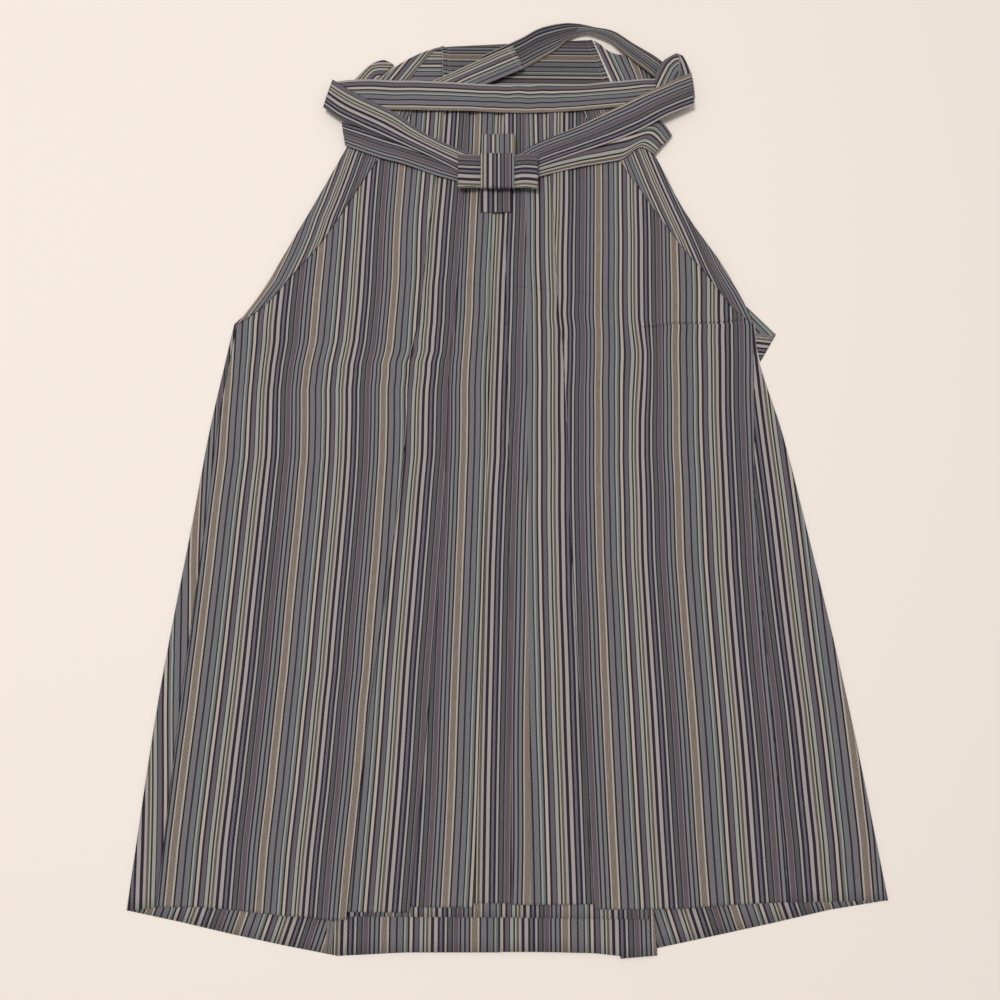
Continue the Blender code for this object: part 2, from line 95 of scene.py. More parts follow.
# upper and lower edge of each tie. Where a strip lies on top, the lower one is cut back to what shows
# or runs on a little under it
TIES = {
    "back_tie_right": (((116.5, 1014.5), (125, 1008.5), (135, 999.5), (145, 995), (156, 993), (176, 982),
                        (192, 966)),
                       ((119.5, 1009), (129, 985), (139, 958), (143, 944))),
    "tie_loop_left": (((-186, 956), (-164, 980), (-147, 988), (-138, 985.5), (-131.5, 981.5)),
                      ((-184, 946), (-173, 951), (-162, 954), (-154.5, 959.5))),
    "back_tie_arc": (((-22, 993), (25, 1017), (50, 1032), (80, 1039), (100, 1037), (117, 1032),
                      (142, 1026), (167, 1008), (200, 986), (216, 970)),
                     ((-20, 948), (28, 974), (67, 999), (80, 1010.5), (90.6, 1019), (106.5, 1023.3),
                      (122.4, 1018.8), (136.7, 1011.5), (147.3, 1001.4), (162.6, 985.5), (178, 972),
                      (191, 960))),
    "back_tie_end": (((-105, 944), (-83, 955), (-33, 979), (16, 1004)),
                     ((-38, 940), (-20, 948), (5, 959.5), (30, 971))),
    "tie_lower_left": (((-194, 903), (-153, 889), (-117, 876), (-85, 866), (-48, 851), (-27, 841)),
                       ((-188, 868), (-149, 853), (-117, 843), (-81, 829), (-50, 819), (-30, 810))),
    "tie_lower_right": (((12, 837), (54, 859), (100, 878), (140, 892), (172, 902), (196, 903), (210, 884)),
                        ((24, 816), (47, 826), (96, 839), (129, 846), (149, 851), (170, 866), (187, 857))),
    "front_band": (((-207, 958), (-166, 959), (-77, 952), (5, 947), (74, 950), (144, 954), (194, 958.5)),
                   ((-216, 919), (-165, 917), (-77, 913), (5, 911), (73, 913), (143, 919), (193, 926))),
    "tie_turn_right": (((190, 928), (191, 943), (192, 964), (202, 982), (218, 994)),
                       ((240, 936), (239, 950), (237, 965), (233, 978), (227, 992))),
    "tie_upper_left": (((-206, 957), (-179, 938), (-134, 913), (-101, 889), (-68, 870), (-35, 855),
                        (-18, 847)),
                       ((-216, 918), (-194, 902), (-153, 883), (-116, 866), (-84, 851), (-52, 834),
                        (-30, 822))),
    "tie_upper_right": (((8, 846), (23, 855), (48, 871), (97, 893), (146, 919), (190, 941), (235, 964)),
                        ((22, 826), (47, 838), (97, 857), (129, 869), (163, 884), (196, 901), (237, 921))),
    "knot_tab": (((-22, 882), (-22, 838)), ((18, 882), (18, 838))),
    "knot_tail": (((-24, 820), (-24, 779.5)), ((14, 820), (14, 779.5))),
    "side_tie_end": (((290, 663), (306, 646), (323, 628)),
                     ((296.2, 645), (298.4, 621), (300.6, 605), (302.6, 594))),
}
BACK_TIE_OUTER = ((-153, 958), (-129, 981), (-100, 999), (-70, 1010))
BACK_TIE_UPPER = ((-116, 958), (-101, 979), (-87, 998), (-74, 1006.5))
BACK_TIE_LOWER = ((-70.3, 952), (-71.1, 970), (-71.8, 988), (-72.5, 1005))
BOARD_OUTLINE = ((-67, 905.4), (152, 905.4), (137, 957), (115.5, 1017), (-72, 1007), (-70, 957))
KNOT_LEFT, KNOT_RIGHT, KNOT_TOP, KNOT_BOTTOM = -51, 46, 849, 807
WRAP_LEFT, WRAP_RIGHT = -23, 17

# ---- Stripes: one repeat of the warp, left to right: width, colour, how much it is flecked ----
STRIPES = (
    (18, (174, 161, 155), 0.0), (77, (126, 113, 101), 1.0), (25, (174, 165, 159), 0.0),
    (26, (34, 26, 26), 0.0), (72, (114, 109, 113), 0.45), (24, (42, 32, 45), 0.0),
    (69, (111, 110, 113), 0.45), (21, (39, 41, 38), 0.0), (20, (151, 151, 149), 0.0),
    (30, (110, 112, 109), 0.2), (26, (35, 30, 33), 0.0), (39, (177, 166, 156), 0.0),
    (28, (41, 29, 42), 0.0), (54, (100, 92, 100), 0.3), (17, (42, 43, 40), 0.0),
    (41, (155, 153, 146), 0.0), (26, (43, 42, 38), 0.0), (18, (170, 164, 152), 0.0),
    (37, (96, 86, 75), 0.9), (31, (161, 152, 151), 0.0), (44, (42, 33, 39), 0.0),
    (51, (163, 155, 154), 0.1), (29, (39, 29, 36), 0.0), (34, (105, 99, 108), 0.9),
    (34, (39, 32, 47), 0.0), (30, (156, 152, 150), 0.0), (18, (35, 30, 33), 0.0),
    (50, (87, 84, 86), 0.6), (17, (39, 36, 48), 0.0), (11, (129, 119, 124), 0.0),
    (63, (94, 84, 88), 0.5), (14, (134, 124, 128), 0.0), (27, (39, 29, 36), 0.0),
    (38, (124, 124, 128), 0.1), (26, (39, 41, 46), 0.0), (38, (121, 118, 120), 0.1),
    (27, (36, 29, 32), 0.0),
)
REPEAT = sum(width for width, _, _ in STRIPES)
TAN = (STRIPES[0][0] + STRIPES[1][0] / 2) / REPEAT         # middle of the tan stripe
PITCH = 91.0               # millimetres to a repeat

# ---- Where the tan stripe runs on each leaf: (y, x) up the garment, millimetres to a repeat on that
# leaf, and the number of the repeat ----
TAN_LINES = {
    "leaf_a_side": (((0, -345), (60, -342.7), (120, -338.4), (200, -333), (240, -331.1), (360, -323.2),
                     (480, -316.8), (520, -316.2), (590, -314.8), (640, -314.2), (930, -301.2)), 94, 0),
    "leaf_a":      (((0, -250.7), (60, -248.1), (120, -243.5), (200, -238.9), (240, -236),
                     (360, -229.3), (480, -223.7), (520, -224.6), (560, -225.5), (590, -223.3),
                     (620, -218.6), (700, -214.8), (780, -211), (930, -202.8)), 95.5, 1),
    "leaf_a_last": (((0, -162.3), (60, -158.2), (120, -153.3), (200, -148.4), (240, -144.8),
                     (360, -138.5), (480, -133.5), (520, -132.8), (560, -134.2), (590, -132.3),
                     (620, -128), (700, -124.2), (780, -122.4), (930, -114.5)), 92, 2),
    "leaf_b":      (((0, -166.7), (120, -159.5), (240, -152.9), (300, -149.3), (360, -146.2),
                     (420, -142.2), (480, -137.9), (560, -136.9), (600, -133.8), (636, -130.3),
                     (640, -129.8), (665, -128.7), (690, -128.1), (700, -127.1), (780, -122.3),
                     (930, -113.5)), 93, 2),
    "leaf_c":      (((0, -56.8), (120, -52.1), (240, -48.4), (300, -47), (360, -45.4), (480, -41),
                     (560, -41.4), (620, -39.3), (660, -36.5), (700, -35.2), (780, -32.2), (930, -27)),
                    89, 3),
    "leaf_d":      (((0, -65.8), (120, -64.4), (200, -62.9), (240, -62), (300, -60.8), (360, -59.6),
                     (380, -58.8), (440, -56.7), (480, -54.3), (500, -54), (560, -52.5), (620, -50.4),
                     (700, -47.9), (760, -45.1), (780, -44.5), (820, -44.6), (930, -41.2)), 91, 3),
    "leaf_e":      (((0, 27.4), (60, 28.5), (140, 29.1), (220, 30), (300, 31.4), (340, 32.2),
                     (380, 33.4), (420, 34.6), (500, 37.3), (580, 39.8), (660, 42.5), (700, 43.9),
                     (780, 46), (930, 48)), 92, 0),
    "leaf_e_seam": (((0, 22), (60, 21), (120, 20.4), (200, 18.4), (230, 17.8), (280, 16.5),
                     (317, 15.8), (560, 16.6), (620, 17.7), (660, 17.8), (700, 16.7), (760, 16.1),
                     (930, 15.2)), 95.5, 0),
    "leaf_f":      (((0, 119), (120, 116.5), (240, 112.4), (360, 110.9), (480, 110.6), (560, 112.7),
                     (600, 114.3), (620, 114.7), (650, 115.1), (700, 115.5), (720, 115.8),
                     (780, 117.4), (930, 121)), 93, 1),
    "leaf_f_side": (((0, 212.4), (120, 208.9), (240, 204.5), (360, 200.4), (480, 200.4), (560, 202.7),
                     (620, 203.5), (700, 206), (780, 207.2), (930, 210.5)), 97, 2),
    "wrap_left":   (((0, -320.5), (60, -323.4), (120, -326.8), (200, -332), (360, -340.8), (640, -344),
                     (930, -344)), -97, 0),
    "wrap_right":  (((0, 382.2), (60, 381.5), (120, 378.1), (200, 374.3), (280, 369.3), (360, 364.2),
                     (640, 346.3), (930, 331.3)), -96, 0),
}
# the same on the backs: the middle panel, the layer seen past the front hem, and round the sides
BACK_TAN, BACK_PITCH, WRAP_PITCH = -26.2, 93.4, 98.0
FLOOR_LAYER_END = -178.5   # left of here the left back shows its slanting lower layer
# by side: the tan stripe's x on that layer, its slant, and how far below the front hem that x is
FLOOR_STRIPES, FLOOR_PITCH = {1: (-270, 0.32, 19), -1: (246, -0.306, 14)}, 93.5 / 0.955
# from a back's centre pleat to the step in its hem, and from there to where the hem is level again
BACK_STEP, BACK_STEP_EASE = 38, 28
SEAM_E = 31.5              # a seam in the right front, beside the centre pleat


def at_height(values, y, heights=HEIGHTS):
    y = min(max(y, heights[0]), heights[-1] + 60)
    i = 0
    while i < len(heights) - 2 and y > heights[i + 1]:
        i += 1
    span = heights[i + 1] - heights[i]
    rise = values[i + 1] - values[i]

    def slope(k):
        if k in (0, len(heights) - 1) or heights[k] == OPENING:
            return rise / span
        return (values[k + 1] - values[k - 1]) / (heights[k + 1] - heights[k - 1])

    t = (y - heights[i]) / span
    if t > 1:
        return values[i + 1] + rise * (t - 1)
    a = values[i] * (1 + 2 * t) * (1 - t) ** 2 + values[i + 1] * t * t * (3 - 2 * t)
    b = slope(i) * span * t * (1 - t) ** 2 - slope(i + 1) * span * t * t * (1 - t)
    return a + b


# how far the shown edge of each front stands from its line above the side opening: (y, x)
EDGE_SHOWN = {
    "edge_left": ((640, 0), (648, 2.2), (670, 2.7), (691, 1.4), (725, -3.2), (753, -5.3), (803, -6.4),
                  (850, -7), (935, -7)),
    "edge_right": ((640, 0.3), (646, 1.9), (666, 3.9), (700, 4.4), (722, 3.2), (745, 0), (763, -2.2),
                   (785, -3.1), (805, -2.2), (830, 1), (852, 2.7), (935, 3)),
}


def line(name, y):
    x = at_height(LINES[name], y)
    return x + between(EDGE_SHOWN[name], y) if y > OPENING and name in EDGE_SHOWN else x


def ease(t):
    t = min(max(t, 0.0), 1.0)
    return t * t * (3 - 2 * t)


def between(points, y):
    """Straight interpolation in a list of (y, x)."""
    for (y0, x0), (y1, x1) in zip(points, points[1:]):
        if y <= y1:
            return x0 + (x1 - x0) * (y - y0) / (y1 - y0)
    return points[-1][1]


def grain(leaf, x, y):
    """Place across the warp, in repeats, at a point of a leaf."""
    points, pitch, number = TAN_LINES[leaf]
    return number + TAN + (x - between(points, y)) / pitch


def grain_a(x, y):
    a, b, c = (between(TAN_LINES[k][0], y) for k in ("leaf_a_side", "leaf_a", "leaf_a_last"))
    if x < a:
        return TAN + (x - a) / (b - a)
    if x > c:
        return grain("leaf_a_last", x, y)
    return TAN + (x - a) / (b - a) if x < b else 1 + TAN + (x - b) / (c - b)


def grain_e(x, y):
    return grain("leaf_e", x, y) if x < SEAM_E else grain("leaf_e_seam", x, y)


def grain_f(x, y):
    a, b = (between(TAN_LINES[k][0], y) for k in ("leaf_f", "leaf_f_side"))
    return 1 + TAN + (x - a) / (b - a) if x < b else grain("leaf_f_side", x, y)


# ---- Creases: line of points, half width, height (negative is a trough), drawn ----
CREASES = (
    (((167, 636), (182, 636), (200, 640), (256, 641), (288, 645)), 1.3, -2.5),
    (((164, 637), (182, 637), (200, 641), (256, 642), (290, 646)), 7.0, 2.0),
    (((-112, 615), (-96, 611), (-81, 605), (-53, 593)), 1.8, -1.4),
    (((-114, 612), (-96, 608), (-81, 602), (-55, 591)), 7.0, 1.0),
    (((-151, 600), (-110, 597), (-54, 592)), 1.5, -0.5),
    (((-315, 571), (-240, 573), (-170, 577), (-118, 574)), 4.0, -0.5),
    (((-310, 584), (-240, 586), (-170, 589), (-120, 586)), 7.0, 0.5),
    (((146, 642), (158, 622), (170, 602)), 6.0, 0.7),
    (((158, 644), (169, 622), (180, 604)), 3.0, -0.45),
    (((48, 668), (75, 656), (112, 661)), 5.0, 0.55),
    (((50, 641), (80, 634), (114, 641)), 4.0, -0.5),
    (((52, 618), (84, 612), (118, 618)), 5.0, 0.5),
    (((118, 632), (129, 622), (140, 611)), 3.0, -0.8),
    (((-32, 686), (0, 684), (42, 683), (75, 680), (110, 674)), 1.4, -1.5),
    (((-30, 688), (0, 686), (42, 685), (75, 682), (108, 676)), 6.0, 1.0),
    (((-34, 685), (-26, 683)), 2.5, -0.6),
    (((-24, 647), (-16, 645)), 2.5, -0.6),
    (((200, 330), (240, 322), (285, 326)), 9.0, 0.4),
    (((-330, 300), (-270, 294), (-210, 300)), 9.0, 0.4),
    (((120, 250), (200, 240), (280, 246)), 10.0, -0.3),
    (((-300, 150), (-240, 146), (-180, 152)), 10.0, 0.35),
)
WRAP_CREASES = (
    (((-366, 251), (-361, 254), (-352, 258)), 3.5, -0.7),
    (((-368, 262), (-360, 265), (-350, 269)), 4.5, 0.5),
    (((352, 300), (330, 296), (300, 300)), 7.0, 0.4),
    (((380, 150), (350, 144), (305, 150)), 8.0, 0.35),
)


def crease(x, y, creases):
    total = 0.0
    for points, width, height in creases:
        xs = [p[0] for p in points]
        ys = [p[1] for p in points]
        reach = 2.6 * width
        if not (min(xs) - reach < x < max(xs) + reach and min(ys) - reach < y < max(ys) + reach):
            continue
        best = 1e9
        for (ax, ay), (bx, by) in zip(points, points[1:]):
            dx, dy = bx - ax, by - ay
            t = min(max(((x - ax) * dx + (y - ay) * dy) / (dx * dx + dy * dy), 0.0), 1.0)
            best = min(best, math.hypot(x - ax - t * dx, y - ay - t * dy))
        total += height * math.exp(-(best / width) ** 2)
    return total


def bell(t):
    return math.exp(-t * t)


def jog(x, y):
    """How far the stripes stray sideways where the cloth is rumpled, in millimetres."""
    right = ease((650 - y) / 50) * ease((y - 515) / 85) * 5.0 * bell((x - 163) / 19)
    below = 0.9 * ease((641 - y) / 3) * ease((y - 560) / 70) * ease((x - 168) / 20)
    middle = 1.0 * math.sin(math.tau * (y - 611) / 61) * bell((y - 641) / 24) * bell((x - 80) / 34)
    left = 1.7 * (y - 598) / 9 * bell((y - 598) / 12) * bell((x + 100) / 48)
    loose = 0.4 * math.sin(y / 41 + x / 66) + 0.3 * math.sin(y / 17.5 - x / 29 + 2) * bell((y - 610) / 190)
    return right + below + middle + left + loose


def swell(x, y, seed=0.0):
    """Slight unevenness of pressed cloth."""
    return (0.16 * math.sin(x / 17.0 + y / 210.0 + seed) * math.sin(y / 61.0 + x / 130.0 + 1.3 + seed)
            + 0.13 * math.sin(x / 9.5 - y / 95.0 + 2 * seed) + 0.12 * math.sin(y / 37.0 + x / 48.0 + seed))


def front_base(x, y):
    width = at_height(STACK_SLOPE, y)
    from_left = ease((x - line("stack_left", y) + 8 + width) / width)
    from_right = ease((line("stack_right", y) + 8 + width - x) / width)
    middle = min(from_left, from_right)
    inner = ease((CROTCH + CROTCH_RISE - y) / CROTCH_RISE)
    edge = ease((y - OPENING + OPENING_RISE) / OPENING_RISE)
    over_board = (BOARD + GAP) / LAYER * ease((y - BOARD_RISE[0]) / (BOARD_RISE[1] - BOARD_RISE[0]))
    return max(1 + (2 + inner) * middle + edge * (1 - middle), over_board)


def front_z(x, y, level):
    return CLOTH / 2 + LAYER * (front_base(x, y) + level)


def spread(a, b, n):
    return [a + (b - a) * i / (n - 1) for i in range(n)]


def arc(x, y, side, upper, base, steps=5):
    """Points round a pressed fold whose outside is at x, from layer upper to upper - 1."""
    centre = x - side * FOLD_OUT
    z = CLOTH / 2 + LAYER * (base(centre, y) + upper - 0.5)
    out = []
    for k in range(1, steps + 1):
        angle = math.pi / 2 - math.pi * k / (steps + 1)
        out.append((centre + side * FOLD * math.cos(angle), z + FOLD * math.sin(angle)))
    return out


def front_row(y, edges, start, side, leaves, end=None):
    """One row of a front, from its side edge to the centre: (x, z, repeats, hem share)."""
    depth = line("pleat_depth", y)
    slope = at_height(PLEAT_SLOPE, y)
    climb = edges[0] - side * (depth + 3)
    points = []                                 # x, z, grain or None where it is hidden, which hem

    def shown(x, level, leaf, hem, lift=1.0):
        z = front_z(x, y, level)
        near = min(1.0, abs(x - start) / 6.0)
        z += lift * near * (crease(x, y, CREASES) + swell(x, y) * (1 if y < 840 else 0.4))
        if abs(x - start) < 3:
            z -= 0.25 * (1 - abs(x - start) / 3)
        points.append((x, z, leaf(x, y) - jog(x, y) / PITCH, hem))

    def hidden(x, level, hem):
        points.append((x, front_z(x, y, level), None, hem))

    first = leaves[0]
    for k, x in enumerate([start, start + side * 0.8, start + side * 2] + spread(
            start + side * 5, climb - side * slope, 40)):
        shown(x, 0, first, ("side", min(1.0, max(0.0, (k - 2) / 40))))
    for t in (0.2, 0.4, 0.6, 0.8, 1.0):
        shown(climb - side * slope * (1 - t), 2 * (0.35 * t + 0.65 * ease(t)), first, ("side", 1.0))
    for k, edge in enumerate(edges):
        hem = ("pleat", k)
        leaf = leaves[k]
        inside = edge - side * depth
        fold_x = edge - side * FOLD_OUT
        climbed = climb
        if k == 0:
            for t in (0.25, 0.5, 0.75, 0.92, 1.0):
                shown(climbed + (fold_x - climbed) * t, 2, leaf, hem, 1.0 - t)
        for x, z in arc(edge, y, side, 2, front_base):
            points.append((x, z, leaf(edge, y) + (side * abs(x - edge) - jog(edge, y)) / PITCH, hem))
        last = k == len(edges) - 1
        hidden(fold_x, 1, hem)
        if side < 0 and last:
            hidden(inside, 1, hem)
            break
        turned = inside + side * FOLD_OUT
        hidden((fold_x + turned) / 2, 1, hem)
        hidden(turned, 1, hem)
        for x, z in arc(inside, y, -side, 1, front_base):
            points.append((x, z, None, hem))
        hidden(turned, 0, hem)
        hidden(fold_x, 0, hem)
        nxt = ("pleat", k + 1) if not last else ("centre", 0)
        begin = edge + side * 1.5
        leaf = leaves[k + 1]
        points.append((edge, front_z(edge, y, 0), leaf(edge, y), nxt))
        if last:
            for x in spread(begin, end, 9):
                lift = 0 if x > line("pleat_4", y) else 0.6 * swell(x, y)
                points.append((x, front_z(x, y, 0) + lift, leaf(x, y), nxt))
        else:
            stop = edges[k + 1] - side * (depth + 3)
            far = edges[k + 1] - side * FOLD_OUT
            if side < 0:                        # columns to both sides of the seam
                columns = spread(begin, SEAM_E + 0.1, 9) + spread(SEAM_E - 0.1, far, 9)
            else:
                columns = spread(begin, stop, 12) + spread(stop + (far - stop) * 0.2, far, 5)
            for x in columns:
                t = (x - begin) / (stop - begin)
                if t < 1:
                    shown(x, 2 * (0.5 * t + 0.5 * ease(t)), leaf, nxt, min(1.0, 5 * t))
                else:
                    shown(x, 2, leaf, nxt, 1.0 - (x - stop) / (far - stop))
    # the folded-in cloth takes its stripes evenly between the leaves it joins
    grains = [p[2] for p in points]
    i = 0
    while i < len(grains):
        if grains[i] is None:
            j = i
            while j < len(grains) and grains[j] is None:
                j += 1
            before = grains[i - 1]
            after = grains[j] if j < len(grains) else before + side * (j - i) * 0.04
            for m in range(i, j):
                grains[m] = before + (after - before) * (m - i + 1) / (j - i + 1)
            i = j
        i += 1
    return [(x, z, g, hem) for (x, z, _, hem), g in zip(points, grains)]


def heights_of(top, step=9.0):
    """Rows from the top to the hem, closer together over the creases at the side openings."""
    out = [float(top)]
    while out[-1] > 0:
        y = out[-1]
        finer = 0.8 if 632 < y < 647 else 1.1 if 671 < y < 690 else 2.2 if 586 < y < 618 else 4.0
        finer = finer if 555 < y < 700 else step
        out.append(max(0.0, y - finer))
        if 0 < out[-1] < 3:
            out[-1] = 0.0
    return out


def drop_share(y):
    return max(0.0, 1 - y / 210)


def side_drop(values, t):
    t = t * (len(values) - 1)
    i = min(int(t), len(values) - 2)
    return values[i] + (values[i + 1] - values[i]) * (t - i)


# ---- Materials ----
def linear(colour):
    out = []
    for c in colour:
        c /= 255
        out.append(c / 12.92 if c <= 0.04045 else ((c + 0.055) / 1.055) ** 2.4)
    return out


# spacing in millimetres of the slanting flecks, along and across, and of the weft ribs and warp yarns
FLECK_ALONG, FLECK_ACROSS, RIB, YARN = 4.0, 2.5, 0.62, 0.48


def striped(name, stitches=None, tone=0.92):
    """Warp-striped suiting: colours by place across the warp, flecks, fine ribs, soft unevenness.

    stitches: where their line is along the warp, their spacing, the share of it each takes, half
    their width (millimetres), the thread's colour and how far it hides the cloth.
    tone: share of the charted colours' brightness; the lower shares on the board and on the back tie over it
    are painted shade."""
    material = bpy.data.materials.new(name)
    material.use_nodes = True
    nodes, links = material.node_tree.nodes, material.node_tree.links
    nodes.clear()

    def node(kind, **settings):
        made = nodes.new(kind)
        for key, value in settings.items():
            setattr(made, key, value)
        return made

    def feed(socket, value):
        if isinstance(value, (int, float, tuple)):
            socket.default_value = value
        else:
            links.new(value, socket)

    def maths(operation, a, b=None):
        made = node("ShaderNodeMath", operation=operation)
        feed(made.inputs[0], a)
        if b is not None:
            feed(made.inputs[1], b)
        return made.outputs[0]

    def times(a, b):
        return maths("MULTIPLY", a, b)

    def plus(a, b):
        return maths("ADD", a, b)

    def mix(kind, share, a, b):
        made = node("ShaderNodeMix", data_type="RGBA", blend_type=kind)
        for index, value in ((0, share), (6, a), (7, b)):
            feed(made.inputs[index], value)
        return made.outputs[2]

    def noise(vector, scale, detail):
        made = node("ShaderNodeTexNoise")
        for key, value in (("Scale", scale), ("Detail", detail), ("Vector", vector)):
            feed(made.inputs[key], value)
        return made.outputs[0]

    def drawn_out(share):
        """A place on the cloth whose noise is drawn out along the warp."""
        made = node("ShaderNodeCombineXYZ")
        feed(made.inputs[0], across)
        feed(made.inputs[1], times(along, share))
        return made.outputs[0]

    split = node("ShaderNodeSeparateXYZ")
    feed(split.inputs[0], node("ShaderNodeUVMap", uv_map="grain").outputs[0])
    u, v = split.outputs[0], split.outputs[1]         # repeats across, metres along the warp
    across, along = times(u, PITCH), times(v, 1000.0)                   # millimetres

    # single yarns stray a little across the warp
    stray = noise(drawn_out(0.09), 2.2, 2.0)
    place_in_repeat = maths("FRACT", plus(u, times(maths("SUBTRACT", stray, 0.5), 0.16 / PITCH)))

    # a ramp holds 32 colours at most, so two share the repeat
    half = len(STRIPES) // 2 + 1
    ramps = []
    start = 0.0
    for part in (STRIPES[:half], STRIPES[half:]):
        border = start / REPEAT
        ramp = node("ShaderNodeValToRGB")
        ramp.color_ramp.interpolation = "CONSTANT"
        elements = ramp.color_ramp.elements
        for i, (width, colour, fleck) in enumerate(part):
            position = start / REPEAT if i else 0.0
            element = elements[i] if i < 2 else elements.new(position)
            element.position = position
            element.color = (*[c * tone for c in linear(colour)], fleck)
            start += width
        feed(ramp.inputs[0], place_in_repeat)
        ramps.append(ramp.outputs)
    second = maths("GREATER_THAN", place_in_repeat, border)
    base = mix("MIX", second, ramps[0][0], ramps[1][0])
    fleck_share = plus(times(ramps[0][1], maths("SUBTRACT", 1.0, second)), times(ramps[1][1], second))

    # slanting flecks in the mixed stripes, uneven in strength along the warp
    slant = plus(maths("DIVIDE", along, FLECK_ALONG), maths("DIVIDE", across, FLECK_ACROSS))
    streak = times(maths("SUBTRACT", noise(drawn_out(0.12), 0.8, 2.0), 0.5), 0.8)
    flecked = times(plus(times(maths("SINE", times(slant, math.tau)), 0.34), streak), fleck_share)

    # weft ribs and warp yarns, both too fine to see except close by
    weave = times(maths("SINE", times(along, math.tau / RIB)), maths("SINE", times(across, math.tau / YARN)))
    soft = noise(node("ShaderNodeTexCoord").outputs["Object"], 9.0, 3.0)
    uneven = plus(times(weave, 0.07), times(maths("SUBTRACT", soft, 0.5), 0.16))
    light = plus(plus(1.0, flecked), uneven)
    if stitches:
        at, apart, share, half_width, thread, cover = stitches
        row = maths("LESS_THAN", maths("ABSOLUTE", maths("SUBTRACT", along, at)), half_width)
        dash = maths("LESS_THAN", maths("FRACT", maths("DIVIDE", across, apart)), share)
        base = mix("MIX", times(times(row, dash), cover), base, (*linear(thread), 1.0))
    grey = node("ShaderNodeCombineColor")
    for socket in grey.inputs:
        feed(socket, light)

    bump = node("ShaderNodeBump")
    shader = node("ShaderNodeBsdfPrincipled")
    for made, settings in (
            (bump, {"Strength": 0.35, "Distance": 0.0001,
                    "Height": plus(times(weave, 0.5), times(stray, 0.8))}),
            (shader, {"Specular IOR Level": 0.22, "Sheen Weight": 0.06, "Sheen Roughness": 0.5,
                      "Base Color": mix("MULTIPLY", 1.0, base, grey.outputs[0]),
                      "Roughness": plus(0.72, times(soft, 0.16)), "Normal": bump.outputs[0]})):
        for key, value in settings.items():
            feed(made.inputs[key], value)
    links.new(shader.outputs[0], node("ShaderNodeOutputMaterial").inputs[0])
    return material


HEM_STITCHES = (45.0, 9.5, 0.11, 0.5, (60, 54, 58), 0.5)        # blind stitches, hardly seen
BOARD_STITCHES = (8.4, 3.6, 0.55, 0.3, (150, 143, 132), 0.7)
TIE_END_STITCHES = (99.5, 3.6, 0.55, 0.3, (178, 170, 158), 0.75)
CLOTH_STRIPES = striped("striped_cloth", HEM_STITCHES)
TIE_STRIPES = striped("striped_ties")
# the board's stripes darkened to 0.66 of the charted colours: painted shade over the board
BOARD_STRIPES_PAINTED_SHADE = striped("striped_board_painted_shade", BOARD_STITCHES, tone=0.66)
ARC_PAINTED_SHADE_STRIPES = striped("striped_arc_painted_shade", tone=0.68)                 # painted shade: the whole tie darkened to 0.68 of the charted colours
TIE_END_STRIPES = striped("striped_tie_end", TIE_END_STITCHES)


# ---- Making pieces ----
def place(x, y, z):
    return Vector(((x + SHIFT[0]) * MM, (y + SHIFT[1]) * MM, z * MM))


def flat_area(rows):
    """Area of the middle surface, its widest row and its longest line down the rows, in metres."""
    area = 0.0
    width = length = 0.0
    for a, b in zip(rows, rows[1:]):
        for i in range(len(a) - 1):
            p, q, r, s = (Vector(c[:3]) for c in (a[i], a[i + 1], b[i + 1], b[i]))
            area += ((q - p).cross(s - p).length + (q - r).cross(s - r).length) / 2
    for row in rows:
        width = max(width, sum((Vector(p[:3]) - Vector(q[:3])).length for p, q in zip(row, row[1:])))
    for i in range(len(rows[0])):
        length = max(length, sum((Vector(a[i][:3]) - Vector(b[i][:3])).length
                                 for a, b in zip(rows, rows[1:])))
    return area * MM * MM, width * MM, length * MM


def add_piece(name, bm, material):
    mesh = bpy.data.meshes.new(name)
    bm.to_mesh(mesh)
    bm.free()
    obj = bpy.data.objects.new(name, mesh)
    bpy.context.scene.collection.objects.link(obj)
    mesh.materials.append(material)
    return obj


def declare(obj, name, rows):
    """Attach the piece to the root body and hide the solid it stands for; its flat size is worked out but
    not passed on.
    """
    area, width, length = flat_area(rows)
    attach(obj, "root")
    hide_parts(name)
    share = area / (width * length)
    area if 0.31 < share < 0.999 else None


def shell(name, rows, material, thickness=SHELL):
    """A wall of cloth through rows of (x, y, z, u, v), thickened to both sides."""
    bm = bmesh.new()
    grid = [[bm.verts.new(place(*p[:3])) for p in row] for row in rows]
    layer = bm.loops.layers.uv.new("grain")
    for j, upper in enumerate(grid[:-1]):
        for i in range(len(upper) - 1):
            corners = ((j, i), (j + 1, i), (j + 1, i + 1), (j, i + 1))
            face = bm.faces.new([grid[a][b] for a, b in corners])
            face.smooth = True
            for loop, (a, b) in zip(face.loops, corners):
                loop[layer].uv = (rows[a][b][3], rows[a][b][4] * MM)
    obj = add_piece(name, bm, material)
    wall = obj.modifiers.new("Wall", "SOLIDIFY")
    wall.thickness = thickness * MM
    wall.offset = 0
    declare(obj, name, rows)


def front(hand, side, edges, leaves):
    rows = []
    for y in heights_of(FRONT_TOP):
        start = line(f"edge_{hand}", y) + side * (GAP / 2 + 0.1)
        stop = line("pleat_4", y) + line("pleat_depth", y) - 2 if side > 0 else None
        made = []
        for x, z, u, (kind, where) in front_row(y, [line(e, y) for e in edges], start, side, leaves, stop):
            if kind == "side":
                drop = side_drop(HEM[f"front_{hand}"], where)
            else:
                drop = HEM["centre" if kind == "centre" else edges[where]]
            made.append((x, y + drop * drop_share(y), z, u, y))
        rows.append(made)
    shell(f"front_panel_{hand}", rows, CLOTH_STRIPES)


def back_grain(x):
    return 3 + TAN + (x - BACK_TAN) / BACK_PITCH


def floor_grain(side, x, y):
    """Slanting stripes on the lower layer of a back panel, seen past the front hem."""
    if side > 0 and x > FLOOR_LAYER_END:
        return back_grain(x)
    at_hem, slant, down = FLOOR_STRIPES[side]
    return TAN + (x - at_hem - slant * (y + down)) / FLOOR_PITCH


